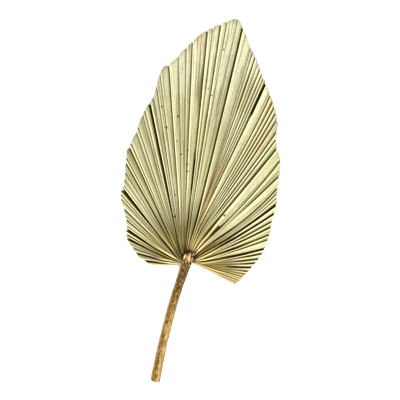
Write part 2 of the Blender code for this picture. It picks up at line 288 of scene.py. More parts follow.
# Colours of the blade
STRAW_OLIVE = (0.215, 0.206, 0.096)
STRAW_LIGHT = (0.380, 0.373, 0.218)
STRAW_WARM = (0.315, 0.270, 0.110)
TIP_STRAW = (0.48, 0.482, 0.325)
CREAM = (0.535, 0.525, 0.305)
# Olive of painted shade on slopes, shaded strips, the left side and one patch near the rim, and of mottles,
# grain and dashes
OLIVE_SHADE = (0.088, 0.068, 0.010)
VEIN_OLIVE = (0.085, 0.066, 0.012)
# Painted crease shade between the gold ribs round the hub
HUB_CREASE_SHADE = (0.042, 0.026, 0.002)
HUB_GOLD = (0.205, 0.150, 0.034)
HUB_GREY = (0.125, 0.100, 0.030)
# Painted highlights on the crests near the hub, at the sides and in the top sector
HUB_CREST_HIGHLIGHT = (0.72, 0.58, 0.25)
HUB_TOP_CREST_HIGHLIGHT = (0.32, 0.265, 0.105)
BURNT_BROWN = (0.075, 0.027, 0.002)
BURNT_CREAM = (0.44, 0.33, 0.135)
EDGE_BROWN = (0.13, 0.068, 0.014)
EDGE_TAN = (0.50, 0.38, 0.20)
RUST = (0.38, 0.12, 0.020)
GOLD_RIB = (0.44, 0.295, 0.088)
# Painted highlight on the crests further out
CREST_HIGHLIGHT = (0.87, 0.83, 0.525)
# Painted shade in the folds' creases, olive further out and brown near the hub
FOLD_SHADE_OLIVE = (0.070, 0.054, 0.003)
FOLD_SHADE_BROWN = (0.048, 0.029, 0.001)
# Black of painted shadow where folds gape and round the knob
SHADOW_BLACK = (0.009, 0.006, 0.0006)
SPOT_BROWN = (0.012, 0.006, 0.002)
SPOT_ORANGE = (0.36, 0.10, 0.02)

# Noise along the blade: its steps for one pleat or one degree across it, and for one mm along it
STREAK_STEPS = (3.3, 0.02)
THREAD_STEPS = (2.4, 0.015)
SHEAF_STEPS = (1.05, 0.02)
CLOUD_STEPS = (0.05, 0.012)
BURNT_STEPS = (1.15, 0.02)
DASH_STEPS = (7.0, 0.4)

# Zones of the blade: from, to, soft edge and, if not 1, the most. Across it they are fold
# angles in degrees, and along it distances from the hub in mm.
TOP_FOLDS = (-38.0, 16.0, 9.0)
CLEAR_HUB_FOLDS = (35.0, 49.0, 2.0, 0.4)
BASAL_FOLDS = (77.0, 97.0, 4.0)
BURNT_FOLDS = (16.2, 23.4, 1.0)
BURNT_REACH = (12.0, 100.0, 18.0)

# Rust stains and one patch of painted olive shade: folds, distance from the hub, share, colour,
# and whether they follow the streaks
STAINS_AND_SHADE = (
    ((30.0, 31.3, 0.3), (124.0, 150.0, 8.0), 0.7, RUST, True),
    ((26.0, 29.0, 0.6), (150.0, 186.0, 8.0), 0.385, RUST, True),
    ((4.9, 5.9, 0.4), (98.0, 128.0, 6.0), 0.35, RUST, False),
    # Painted shade on the broad dark strips near the rim right of the tip
    ((17.0, 22.6, 0.8), (148.0, 184.0, 10.0), 0.45, OLIVE_SHADE, False),
    ((2.8, 4.6, 0.5), (195.0, 232.0, 12.0), 0.22, RUST, False),
)

# Fades: where each one starts and ends, and the shares there. Along the blade in mm.
STREAK_FADE = (16.0, 90.0, 0.15, 1.0)
TIP_FADE = (120.0, 200.0, 0.0, 0.7)
VEIN_FADE = (40.0, 110.0, 0.5, 1.0)
HUB_FADE = (20.0, 80.0, 1.0, 0.0)
BASAL_FADE = (38.0, 60.0, 0.95, 0.0)
DASH_FADE = (30.0, 80.0)
CREST_FADE = (18.0, 66.0)
FOLD_FADE = (26.0, 66.0)
LEFT_EDGE_FADE = (42.0, 52.0, 0.85, 0.0)
SHEEN_FADE = (20.0, 80.0, 0.2, 1.0)

# Painted shade on each strip's slope down to the next fold: where it starts and ends before that fold, in
# mm, and the shares there
SLOPE_SHADE = (0.3, 2.4, 0.45, 0.0)

# Across the blade, in degrees
# Painted shade over the left side, whose pleats face away from the light
LEFT_SHADE = (-75.0, -25.0, 0.30, 0.0)
RIGHT_GOLD = (92.0, 100.0, 0.0, 0.6)
LEFT_GOLD = (-76.0, -79.0, 0.0, 0.2)
# Where the painted crest highlights on the left are cream all the way in
LEFT_CRESTS = (-66.0, -72.0, 0.0, 0.9)
RIGHT_EDGE = (104.9, 105.7, 0.0, 0.9)
LEFT_EDGE = (-79.3, -80.4)

# By how pale a pleat is
PALE_NEAR_HUB = (0.5, 1.0, 1.0, 0.55)

# Share of a crest's painted highlight colour, and where a speck starts and ends to fade, in radii
CREST_SHINE = 0.96
SPOT_CORE = 0.6
SPOT_EDGE = 1.2

# Colours of the stalk
WOOD_BROWN = (0.100, 0.043, 0.007)
WOOD_GOLD = (0.325, 0.185, 0.040)
WOOD_OLIVE = (0.125, 0.078, 0.020)
WOOD_BLACK = (0.014, 0.008, 0.002)
# Dark patches and groove, and painted shade along the stalk's two rims
WOOD_DARK = (0.042, 0.017, 0.002)
WOOD_EDGE = (0.47, 0.345, 0.145)
PITH_BROWN = (0.14, 0.07, 0.02)

# Noise on the stalk: its steps round the stalk and along it
WOOD_GRAIN_STEPS = (24.0, 17.0)
WOOD_PATCH_STEPS = (24.0, 23.0)
WOOD_FLECK_STEPS = (30.0, 36.0)

# Zones round the stalk, from 0 on the right over 0.25 on top to 0.5 on the left
UPPER_SIDE = (0.0, 0.42, 0.05)
DAPPLED_SIDE = (0.10, 0.45, 0.05)
GROOVE = (0.27, 0.33, 0.02)
# A pale rib on the right, partly painted light where the stalk faces the lamp
LIGHT_RIB = (0.10, 0.24, 0.04)
LEFT_RIB = (0.41, 0.45, 0.02)
# Painted shade along the stalk's left rim
LEFT_RIM_SHADE = (0.465, 0.50, 0.012)

# Painted shade along the stalk's right rim: its fade round the stalk, from that rim upwards
RIGHT_RIM_SHADE = (0.03, 0.09, 0.75, 0.0)

# Fades along the stalk, from 0 at the hub to 1 at the cut end
UPPER_FADE = (0.02, 0.60, 0.95, 0.0)
GROOVE_FADE = (0.55, 0.8, 0.0, 0.85)
LIGHT_RIB_FADE = (0.3, 0.6)

# Colours of the knob
KNOB_BROWN = (0.15, 0.055, 0.008)
KNOB_TAN = (0.48, 0.245, 0.08)
KNOB_CREAM = (0.68, 0.50, 0.24)
# Painted shade where the knob's lobes tuck under at their ends
KNOB_SHADE = (0.020, 0.009, 0.003)

# Camera: the picture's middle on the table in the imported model's frame, its width there, and the
# camera's height and sensor, in mm. It is turned by LEAN, as the leaf leans in the photo.
PICTURE_MIDDLE = (2.70, 1.18)
PICTURE_WIDTH = 380.0
CAMERA_HEIGHT = 2200.0
SENSOR = 36.0

# Studio, in metres: the floor and its distance below the leaf, the sky's strength, and the light
# panels' way down the picture from the leaf, shift, size and power
FLOOR_SIZE = 6.0
FLOOR_DROP = 0.0002
FLOOR_COLOUR = (0.94, 0.94, 0.94, 1.0)
SKY_STRENGTH = 0.85
LIGHT_PANELS = (
    ("key_panel", 1.15, (0.3, 0.0, 1.15), 1.8, 54.0),
    ("fill_panel", -1.2, (-0.3, 0.0, 1.3), 2.0, 26.0),
)


def smooth_step(value):
    """0 below 0, 1 above 1 and a soft rise between."""
    value = min(max(value, 0.0), 1.0)
    return value * value * (3.0 - 2.0 * value)


def rise(value, low, high):
    """0 below low, 1 above high and a soft rise between."""
    return smooth_step((value - low) / (high - low))


def world(x, y, z):
    """A point of the leaf's frame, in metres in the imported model's frame."""
    return ((x + HUB_PLACE[0]) * MM, (y + HUB_PLACE[1]) * MM, z * MM)


def rim_radius(angle):
    """Radius of the outline at an angle, with soft turns between the outline's points."""
    angles = np.array([point[0] for point in RIM])
    radii = np.array([point[1] for point in RIM])
    tangents = np.gradient(radii, angles)
    i = int(np.clip(np.searchsorted(angles, angle) - 1, 0, len(RIM) - 2))
    span = angles[i + 1] - angles[i]
    t = float(np.clip((angle - angles[i]) / span, 0.0, 1.0))
    near = (2 * t**3 - 3 * t**2 + 1) * radii[i] + (t**3 - 2 * t**2 + t) * span * tangents[i]
    far = (3 * t**2 - 2 * t**3) * radii[i + 1] + (t**3 - t**2) * span * tangents[i + 1]
    return float(near + far)


def hub_angle(fold_angle):
    """Angle round the hub at which a fold of this angle round the focus meets the rim."""
    return float(np.interp(fold_angle, FOCUS_ANGLES, HUB_ANGLES))


def focus_table():
    """Angles round the hub along the rim, and the fold angles round the focus there."""
    hub_angles = np.linspace(RIM[0][0], RIM[-1][0], RIM_STEPS)
    radii = np.array([rim_radius(angle) for angle in hub_angles])
    across = radii * np.sin(np.radians(hub_angles)) - FOLD_FOCUS[0]
    along = radii * np.cos(np.radians(hub_angles)) - FOLD_FOCUS[1]
    return np.degrees(np.arctan2(across, along)) + LEAN, hub_angles


FOCUS_ANGLES, HUB_ANGLES = focus_table()


def bend_share(fold_angle):
    """How much of the bend a fold has: all of it but near the blade's two edges."""
    left = smooth_step((fold_angle - FOLDS[0][0]) / EDGE_DEGREES)
    right = smooth_step((FOLDS[-1][0] - fold_angle) / EDGE_DEGREES)
    left = LEFT_EDGE_BEND + (1.0 - LEFT_EDGE_BEND) * left
    right = RIGHT_EDGE_BEND + (1.0 - RIGHT_EDGE_BEND) * right
    return left * right


def sways(fold_angle):
    """How far a fold's path is pulled to the left near the hub and further out, in mm."""
    angles = [sway[0] for sway in SWAYS]
    return [float(np.interp(fold_angle, angles, [sway[i] for sway in SWAYS])) for i in (1, 2)]


def plan_point(fold_angle, cut, share):
    """Place on the table of a fold line's point, share 0 at the hub and 1 at the rim."""
    ring_angle = math.radians(np.interp(fold_angle, FAN_FOLDS, FAN_STARTS))
    outward = Vector((math.sin(ring_angle), math.cos(ring_angle)))
    start = Vector(HUB_RING_CENTRE) + HUB_RING_RADIUS * outward
    if share < 0.0:
        return start + share * (HUB_RING_RADIUS - HUB_INNER_RADIUS) * outward
    angle = hub_angle(fold_angle)
    turn = math.radians(angle)
    end = rim_radius(angle) * Vector((math.sin(turn), math.cos(turn)))
    focus = Vector(FOLD_FOCUS)
    end -= cut * (end - focus).normalized()
    ray = end - focus
    left = Vector((-ray.y, ray.x)).normalized()
    middle = ((start + end) / 2.0).lerp(focus + BEND_SHARE * ray, bend_share(fold_angle))
    near_sway, far_sway = sways(fold_angle)
    near = (start + 2.0 * middle) / 3.0 + near_sway * left
    far = (2.0 * middle + end) / 3.0 + far_sway * left
    rest = 1.0 - share
    return rest**3 * start + 3.0 * rest * share * (rest * near + share * far) + share**3 * end


def underside_height(place):
    """Height of the folds' lower edges: flat on the table, raised at hub, tip and sides."""
    hub = 1.0 - rise(place.length, HUB_FLAT_RADIUS, HUB_SLOPE_RADIUS)
    tip = max(0.0, (place.y - TIP_CURL_START) / (TIP_CURL_END - TIP_CURL_START))
    side = max(0.0, (abs(place.x) - SIDE_CURL_START) / (SIDE_CURL_END - SIDE_CURL_START))
    side_curl = LEFT_CURL if place.x < 0 else RIGHT_CURL
    return HUB_HEIGHT * hub + TIP_CURL * tip**2 + side_curl * side**2


def fold_strength(fold, reach, width):
    """Darkness of a fold's painted crease shade at a distance from the hub: fading in, and gaping where it
    is open.

    Where the pleats crowd together at the hub only the folds with a short root last.
    """
    angle, darkness, _, root = fold
    strength = darkness * rise(reach, FOLD_SHOWS[0] * root, FOLD_SHOWS[1] * root)
    if root > LASTING_ROOT:
        strength *= rise(width, CROWDED_WIDTH, ROOMY_WIDTH)
    else:
        strength *= 1.0 + HUB_BOOST * (1.0 - rise(reach, *HUB_BOOST_END))
    for gap_angle, near, far, gap in FOLD_GAPS:
        if gap_angle == angle:
            opening = smooth_step((reach - near) / GAP_SOFTNESS)
            closing = smooth_step((far - reach) / GAP_SOFTNESS)
            strength = max(strength, gap * opening * closing)
    return strength


def dark_half_width(strength, width, lasting):
    """Half width of a fold's line of painted shade, in mm, and never more than a share of the pleat."""
    share = DARK_SHARE + STRONG_EXTRA_SHARE * rise(strength, *STRONG)
    if lasting:
        crowded = 1.0 - rise(width, CROWDED_WIDTH, CROWDED_WIDTH + CROWDING_STEP)
        share += LASTING_EXTRA_SHARE * crowded
    return min(DARK_HALF_WIDTH * max(strength, LEAST_DARK), share * width)


def fold_shade(strength):
    """Darkness of a fold's line of painted shade, 0 to 1."""
    return min(1.0, strength / FULL_SHADE)


def pleat_lines(width, strength, next_strength, lasting):
    """Lines across one pleat: distance in mm from its first fold, rise, painted shade and painted
    highlight.

    Three lines make the first fold, then come the crest's two, the slope's two, and the two
    that lead into the next fold.
    """
    first_half = dark_half_width(strength, width, lasting)
    last_half = dark_half_width(next_strength, width, False)
    top = first_half + min(CREST_RISE, CREST_RISE_SHARE * width)
    crest_end = top + min(CREST_WIDTH, CREST_SHARE * width)
    slope = max(width - last_half - crest_end, LEAST_SLOPE_SHARE * width)
    crest_end = width - last_half - slope
    dark = fold_shade(strength)
    next_dark = fold_shade(next_strength)
    gape = rise(strength, *GAPING)
    next_gape = rise(next_strength, *GAPING)
    return (
        (0.0, 0.0, dark, 0.0),
        (0.7 * first_half, 0.3, dark, 0.0),
        (first_half, 0.7, (0.35 + 0.45 * gape) * dark, 0.2 - 0.2 * gape),
        (top, 1.0, 0.0, 1.0),
        (crest_end, 0.98, 0.0, 0.2),
        (crest_end + 0.45 * slope, 0.9, 0.0, 0.0),
        (crest_end + 0.85 * slope, 0.72, 0.0, 0.0),
        (width - last_half, 0.4, (0.2 + 0.3 * next_gape) * next_dark, 0.0),
        (width - 0.5 * last_half, 0.15, (0.55 + 0.45 * next_gape) * next_dark, 0.0),
    )


def rim_cut(number, across, width, fold_angle):
    """How far the rim of a pleat is cut back in mm: most at its folds, with a hump between."""
    nearest = FOLDS[number] if across < 0.5 else FOLDS[number + 1]
    notch = NOTCH * (SHALLOW_NOTCH + (1.0 - SHALLOW_NOTCH) * min(1.0, nearest[1]))
    notch *= 1.0 - RIGHT_NOTCH_LOSS * rise(FOLDS[number][0], *RIGHT_NOTCH_FOLDS)
    hump = 1.0 - math.sin(math.pi * across) ** HUMP_POWER
    hump *= 1.0 - HUMP_VARIETY * (0.5 + 0.5 * math.sin(HUMP_BEAT * number))
    calm = smooth_step(1.0 - abs(fold_angle - TIP_FOLD) / TIP_SPREAD)
    return notch * (hump - HUMP_MIDDLE) * min(1.0, width / FULL_NOTCH_WIDTH) * (1.0 - calm)


def pleat_points(number, share):
    """One pleat's points on one ring, with the painted values of each."""
    fold, following = FOLDS[number:number + 2]
    first = plan_point(fold[0], 0.0, share)
    last = plan_point(following[0], 0.0, share)
    width = (last - first).length
    reach = first.length
    stand = rise(reach, PLEAT_STANDS[0] * fold[3], PLEAT_STANDS[1] * fold[3])
    strength = fold_strength(fold, reach, width)
    next_strength = fold_strength(following, reach, width)
    lasting = fold[3] <= LASTING_ROOT
    narrowest = LASTING_CREST_WIDTH if lasting else CREST_FADE_WIDTH
    shine = min(1.0, SHINE * strength) * smooth_step(width / narrowest - CREST_FADE_START)
    unseen = 1.0 - min(1.0, next_strength / SEEN_STRENGTH)
    points = []
    for place, height, dark, crest in pleat_lines(width, strength, next_strength, lasting):
        across = place / width
        fold_angle = fold[0] + across * (following[0] - fold[0])
        point = plan_point(fold_angle, rim_cut(number, across, width, fold_angle), share)
        height *= PLEAT_DEPTH * width * stand
        points.append({
            "point": (point.x, point.y, underside_height(point) + BLADE_DROP + height),
            "reach": point.length,
            "fold_angle": fold_angle,
            "pleat": number + across,
            "pale": fold[2],
            # The fold's painted shade and the crest's painted highlight
            "painted_fold_shade": dark,
            "crest": crest * shine,
            "before_next": (1.0 - across) * width + UNSEEN_DISTANCE * unseen,
        })
    return points


def ring_of_points(share):
    """The blade's points on one ring from edge to edge, with the painted values of each."""
    ring = []
    for number in range(len(FOLDS) - 1):
        ring += pleat_points(number, share)
    edge = dict(ring[-1])
    point = plan_point(FOLDS[-1][0], 0.0, share)
    edge["point"] = (point.x, point.y, underside_height(point) + BLADE_DROP)
    edge["fold_angle"] = FOLDS[-1][0]
    edge["pleat"] = float(len(FOLDS))
    edge["painted_fold_shade"] = EDGE_DARK
    edge["before_next"] = 0.0
    return draw_hub_lines([*ring, edge])


def hub_line(distance, half_width, fold):
    """Painted crease shade of a lasting fold's line near the hub, at a distance from its middle."""
    fading = smooth_step(HUB_LINE_EDGE * distance / half_width - HUB_LINE_CORE)
    return (1.0 - fading) * min(1.0, 0.4 + 0.5 * fold[1])


def hub_crest_highlight(distance, half_width, gap, fold):
    """Share of the painted highlight on the crest after a lasting fold near the hub, at a distance from the
    fold.
    """
    width = HUB_CREST_WIDTH * (1.0 + max(0.0, fold[2]))
    end = HUB_CREST_BASE * half_width + min(width, HUB_CREST_SHARE * gap)
    started = smooth_step(HUB_CREST_RISE * (distance / half_width - HUB_CREST_START))
    ended = smooth_step((distance - end) / half_width + 0.5)
    return started * (1.0 - ended) * smooth_step(0.62 + 0.5 * fold[2])


def draw_hub_lines(ring):
    """Paints a ring's lasting folds over the crowded pleats as lines of shade, each with a highlight on the
    crest after it, the more the nearer the hub.
    """
    steps = [math.dist(a["point"][:2], b["point"][:2]) for a, b in zip(ring, ring[1:])]
    run = np.cumsum([0.0, *steps])
    columns = (len(ring) - 1) // (len(FOLDS) - 1)
    lasting = [(run[i * columns], fold) for i, fold in enumerate(FOLDS) if fold[3] <= LASTING_ROOT]
    for entry, here in zip(ring, run):
        near = 1.0 - rise(entry["reach"], *HUB_LINES_END)
        after = sum(1 for place, _ in lasting if place <= here)
        before, fold = lasting[max(after - 1, 0)]
        following, next_fold = lasting[min(after, len(lasting) - 1)]
        gap = max(following - before, LEAST_HUB_GAP)
        half = min(HUB_LINE_HALF_WIDTH * fold[1], HUB_LINE_SHARE * gap)
        next_half = min(HUB_LINE_HALF_WIDTH * next_fold[1], HUB_LINE_SHARE * gap)
        line = max(hub_line(here - before, half, fold), hub_line(following - here, next_half, next_fold))
        crest = hub_crest_highlight(here - before, half, gap, fold)
        entry["painted_fold_shade"] += near * (line - entry["painted_fold_shade"])
        entry["crest"] += near * (crest - entry["crest"])
    return ring


def grid_faces(columns, rings):
    """Quads of the upper face, the lower face and the edges of a sheet laid out ring by ring."""
    lower = columns * rings
    faces = []
    for r in range(rings - 1):
        for c in range(columns - 1):
            a = r * columns + c
            b = a + columns
            faces.append((a, b, b + 1, a + 1))
            faces.append((a + lower, a + 1 + lower, b + 1 + lower, b + lower))
    for c in range(columns - 1):
        a = (rings - 1) * columns + c
        faces.append((c, c + 1, c + 1 + lower, c + lower))
        faces.append((a + 1, a, a + lower, a + 1 + lower))
    for r in range(rings - 1):
        a = r * columns
        b = a + columns - 1
        faces.append((a + columns, a, a + lower, a + columns + lower))
        faces.append((b, b + columns, b + columns + lower, b + lower))
    return faces


def mesh_piece(name, points, faces, values):
    """A smooth mesh with one named number a point for each list in values."""
    mesh = bpy.data.meshes.new(name)
    mesh.from_pydata([world(*p) for p in points], [], faces)
    for value_name, numbers in values.items():
        layer = mesh.attributes.new(value_name, "FLOAT", "POINT")
        layer.data.foreach_set("value", np.array(numbers, dtype=np.float32))
    mesh.polygons.foreach_set("use_smooth", [True] * len(mesh.polygons))
    mesh.update()
    piece = bpy.data.objects.new(name, mesh)
    bpy.context.scene.collection.objects.link(piece)
    return piece


def build_blade():
    shares = [-1.0 + step / HUB_INNER_RINGS for step in range(HUB_INNER_RINGS)]
    shares += [(step / BLADE_RINGS) ** RING_CROWDING for step in range(BLADE_RINGS + 1)]
    rings = [ring_of_points(share) for share in shares]
    upper = [entry["point"] for ring in rings for entry in ring]
    points = upper + [(x, y, z - BLADE_DROP) for x, y, z in upper]
    names = ("painted_fold_shade", "crest", "pale", "pleat", "fold_angle", "reach", "before_next")
    values = {name: [entry[name] for ring in rings for entry in ring] * 2 for name in names}
    faces = grid_faces(len(rings[0]), len(rings))
    piece = mesh_piece("fan_blade", points, faces, values)
    piece.data.materials.append(leaf_material())
    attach(piece, "root")
    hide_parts("leaf_blade")
    return piece


class Nodes:
    """Short names for the shader nodes of one material."""

    def __init__(self, name):
        self.material = bpy.data.materials.new(name)
        self.material.use_nodes = True
        self.tree = self.material.node_tree
        self.shader = self.tree.nodes["Principled BSDF"]

    def link(self, value, socket):
        if isinstance(value, bpy.types.NodeSocket):
            self.tree.links.new(value, socket)
        else:
            socket.default_value = value

    def attribute(self, name):
        node = self.tree.nodes.new("ShaderNodeAttribute")
        node.attribute_name = name
        return node.outputs["Fac"]

    def math(self, operation, a, b=0.0, c=0.0):
        node = self.tree.nodes.new("ShaderNodeMath")
        node.operation = operation
        for value, socket in zip((a, b, c), node.inputs):
            self.link(value, socket)
        return node.outputs[0]

    def times(self, a, b):
        return self.math("MULTIPLY", a, b)

    def plus(self, a, b):
        return self.math("ADD", a, b)

    def ramp(self, value, low, high, to_low=0.0, to_high=1.0):
        node = self.tree.nodes.new("ShaderNodeMapRange")
        node.interpolation_type = "SMOOTHSTEP"
        for number, socket in zip((value, low, high, to_low, to_high), node.inputs):
            self.link(number, socket)
        return node.outputs[0]

    def vector(self, x, y, z=0.0):
        node = self.tree.nodes.new("ShaderNodeCombineXYZ")
        for value, socket in zip((x, y, z), node.inputs):
            self.link(value, socket)
        return node.outputs[0]

    def stretched(self, vector, scales):
        """The vector with each of its numbers multiplied by its own scale."""
        node = self.tree.nodes.new("ShaderNodeVectorMath")
        node.operation = "MULTIPLY"
        self.link(vector, node.inputs[0])
        node.inputs[1].default_value = scales
        return node.outputs["Vector"]

    def place(self):
        return self.tree.nodes.new("ShaderNodeTexCoord").outputs["Object"]

    def flat(self, vector):
        """The place seen from above, with its height left out."""
        return self.stretched(vector, (1.0, 1.0, 0.0))

    def distance(self, vector, point):
        node = self.tree.nodes.new("ShaderNodeVectorMath")
        node.operation = "DISTANCE"
        self.link(vector, node.inputs[0])
        node.inputs[1].default_value = point
        return node.outputs["Value"]

    def noise(self, vector, scale, detail=3.0, rough=0.5):
        node = self.tree.nodes.new("ShaderNodeTexNoise")
        self.link(vector, node.inputs["Vector"])
        node.inputs["Scale"].default_value = scale
        node.inputs["Detail"].default_value = detail
        node.inputs["Roughness"].default_value = rough
        return node.outputs["Fac"]

    def streaks(self, across, along, scales, detail, rough):
        """Noise drawn out along the leaf: scales are its steps across and along it."""
        place = self.vector(self.times(across, scales[0]), self.times(along, scales[1]))
        return self.noise(place, 1.0, detail, rough)

    def mix(self, share, a, b):
        node = self.tree.nodes.new("ShaderNodeMix")
        node.data_type = "RGBA"
        self.link(share, node.inputs[0])
        for value, socket in ((a, node.inputs[6]), (b, node.inputs[7])):
            self.link(value if isinstance(value, bpy.types.NodeSocket) else (*value, 1.0), socket)
        return node.outputs[2]

    def bump(self, height, strength, distance):
        node = self.tree.nodes.new("ShaderNodeBump")
        node.inputs["Strength"].default_value = strength
        node.inputs["Distance"].default_value = distance
        self.link(height, node.inputs["Height"])
        self.tree.links.new(node.outputs["Normal"], self.shader.inputs["Normal"])

    def window(self, value, low, high, soft, most=1.0):
        """most between low and high, 0 elsewhere, with soft edges."""
        after_low = self.ramp(value, low - soft, low + soft, 0.0, most)
        before_high = self.ramp(value, high - soft, high + soft, 1.0, 0.0)
        return self.times(after_low, before_high)


class LeafNodes(Nodes):
    """The blade's shader nodes, with the painted values and zones that its colours share."""

    def __init__(self):
        super().__init__("dried_fan_leaf")
        self.pleat = self.attribute("pleat")
        self.reach = self.attribute("reach")
        self.fold = self.attribute("fold_angle")
        self.pale = self.attribute("pale")
        self.dark = self.attribute("painted_fold_shade")
        self.above = self.flat(self.place())
        self.streak = self.calmed(self.streaks(self.pleat, self.reach, STREAK_STEPS, 4.0, 0.6))
        self.thread = self.calmed(self.streaks(self.fold, self.reach, THREAD_STEPS, 2.0, 0.5))
        self.sheaf = self.streaks(self.fold, self.reach, SHEAF_STEPS, 3.0, 0.6)
        self.mottle = self.noise(self.above, 90.0, 4.0, 0.6)
        self.top = self.window(self.fold, *TOP_FOLDS)
        self.basal = self.times(self.window(self.fold, *BASAL_FOLDS), self.ramp(self.reach, *BASAL_FADE))
        self.burn = self.times(self.window(self.fold, *BURNT_FOLDS), self.window(self.reach, *BURNT_REACH))

    def calmed(self, streaks):
        """The streaks drawn to their mean towards the hub, where they would be too fine."""
        full = self.ramp(self.reach, *STREAK_FADE)
        mean = self.times(self.math("SUBTRACT", 1.0, full), 0.5)
        return self.plus(self.times(streaks, full), mean)


def straw_colour(n):
    """Streaked straw, paler at the tip and in pale pleats, with veins. The pleats' paleness is partly
    painted light and shade; painted shade also darkens the left side and each strip's slope before
    the next fold.
    """
    cloud = n.streaks(n.fold, n.reach, CLOUD_STEPS, 3.0, 0.5)
    colour = n.mix(n.ramp(n.streak, 0.3, 0.7), STRAW_OLIVE, STRAW_LIGHT)
    colour = n.mix(n.ramp(cloud, 0.35, 0.7, 0.0, 0.5), colour, STRAW_WARM)
    colour = n.mix(n.ramp(n.reach, *TIP_FADE), colour, TIP_STRAW)
    # Pale and shaded strips: partly their own tone, partly painted light and shade
    colour = n.mix(n.ramp(n.pale, 0.0, 1.0, 0.0, 0.6), colour, CREAM)
    colour = n.mix(n.ramp(n.pale, -1.0, 0.0, 0.75, 0.0), colour, OLIVE_SHADE)
    # Painted shade over the left side
    colour = n.mix(n.ramp(n.fold, *LEFT_SHADE), colour, OLIVE_SHADE)
    vein = n.times(n.ramp(n.thread, 0.40, 0.46, 0.7, 0.0), n.ramp(n.reach, *VEIN_FADE))
    colour = n.mix(vein, colour, VEIN_OLIVE)
    colour = n.mix(n.ramp(n.mottle, 0.5, 0.8, 0.0, 0.3), colour, OLIVE_SHADE)
    # Painted shade on the slope before the next fold
    return n.mix(n.ramp(n.attribute("before_next"), *SLOPE_SHADE), colour, OLIVE_SHADE)


def hub_colour(n, colour):
    """Gold ribs with painted crease shade between them, round the hub and along the lowest pleats on the
    right.
    """
    hub = n.times(n.ramp(n.reach, *HUB_FADE), n.ramp(n.pale, *PALE_NEAR_HUB))
    hub = n.times(hub, n.math("SUBTRACT", 1.0, n.window(n.fold, *CLEAR_HUB_FOLDS)))
    hub = n.math("MAXIMUM", hub, n.basal)
    rib = n.ramp(n.sheaf, 0.46, 0.53)
    # Painted crease shade between the gold ribs
    side_ribs = n.mix(rib, HUB_CREASE_SHADE, HUB_GOLD)
    top_ribs = n.mix(rib, HUB_CREASE_SHADE, HUB_GREY)
    return n.mix(hub, colour, n.mix(n.top, side_ribs, top_ribs))


def burnt_colour(n, colour):
    """The brown stripe of burnt fibres right of the tip's pleats."""
    fibre = n.streaks(n.fold, n.reach, BURNT_STEPS, 1.0, 0.5)
    burnt = n.mix(n.ramp(fibre, 0.47, 0.53), BURNT_BROWN, BURNT_CREAM)
    return n.mix(n.times(n.burn, n.ramp(n.mottle, 0.35, 0.65, 1.0, 0.8)), colour, burnt)


def stained_and_shaded_colour(n, colour):
    """Rust stains and a patch of painted olive shade, then the golden ribs at the blade's two edges."""
    streaky = n.ramp(n.streak, 0.35, 0.6, 0.35, 1.0)
    for folds, reaches, share, patch_colour, is_streaky in STAINS_AND_SHADE:
        zone = n.times(n.window(n.fold, *folds), n.window(n.reach, *reaches))
        if is_streaky:
            zone = n.times(zone, streaky)
        colour = n.mix(n.times(zone, share), colour, patch_colour)
    gold = n.plus(n.ramp(n.fold, *RIGHT_GOLD), n.ramp(n.fold, *LEFT_GOLD))
    return n.mix(gold, colour, GOLD_RIB)


def grained_colour(n, colour):
    """Fine grain and short dashes along the pleats."""
    grain = n.noise(n.above, 800.0, 2.0, 0.7)
    colour = n.mix(n.ramp(grain, 0.50, 0.75, 0.0, 0.5), colour, OLIVE_SHADE)
    dash = n.streaks(n.pleat, n.reach, DASH_STEPS, 3.0, 0.7)
    dashes = n.times(n.ramp(dash, 0.50, 0.72, 0.0, 0.4), n.ramp(n.reach, *DASH_FADE))
    return n.mix(dashes, colour, OLIVE_SHADE)


def crest_highlight_colour(n, colour):
    """Painted highlight on the crests, golden near the hub and dulled where the leaf is burnt or brown."""
    dulled = n.math("MAXIMUM", n.times(n.burn, 0.7), n.times(n.basal, 0.6))
    # Painted highlight on the crests
    crest = n.times(n.attribute("crest"), n.math("SUBTRACT", CREST_SHINE, dulled))
    near_hub = n.mix(n.top, HUB_CREST_HIGHLIGHT, HUB_TOP_CREST_HIGHLIGHT)
    outer = n.math("MAXIMUM", n.ramp(n.reach, *CREST_FADE), n.ramp(n.fold, *LEFT_CRESTS))
    return n.mix(crest, colour, n.mix(outer, near_hub, CREST_HIGHLIGHT))


def fold_colour(n, colour):
    """Painted shade in the folds, black painted shadow where they gape, and the brown and tan ribs along
    the two edges.
    """
    # Painted shade in the creases
    fold = n.mix(n.ramp(n.reach, *FOLD_FADE), FOLD_SHADE_BROWN, FOLD_SHADE_OLIVE)
    colour = n.mix(n.ramp(n.dark, 0.03, 0.66), colour, fold)
    # Black painted shadow where folds gape
    colour = n.mix(n.ramp(n.dark, 0.74, 1.0), colour, SHADOW_BLACK)
    colour = n.mix(n.ramp(n.fold, *RIGHT_EDGE), colour, EDGE_BROWN)
    left_edge = n.times(n.ramp(n.fold, *LEFT_EDGE), n.ramp(n.reach, *LEFT_EDGE_FADE))
    return n.mix(left_edge, colour, EDGE_TAN)


def spotted_colour(n, colour):
    """Specks over the blade and painted shadow round the knob."""
    for x, y, radius, orange in SPOTS:
        away = n.distance(n.above, world(x, y, 0.0))
        spot = n.ramp(away, SPOT_CORE * radius * MM, SPOT_EDGE * radius * MM, 0.95, 0.0)
        tint = [brown + orange * (rust - brown) for brown, rust in zip(SPOT_BROWN, SPOT_ORANGE)]
        colour = n.mix(spot, colour, tint)
    # Painted shadow round the knob
    for x, y, near, far, share in KNOB_SHADOWS:
        away = n.distance(n.above, world(x, y, 0.0))
        knob_shadow = n.ramp(away, near * MM, far * MM, share, 0.0)
        colour = n.mix(n.times(knob_shadow, n.ramp(n.sheaf, 0.40, 0.6, 1.0, 0.5)), colour, SHADOW_BLACK)
    return colour


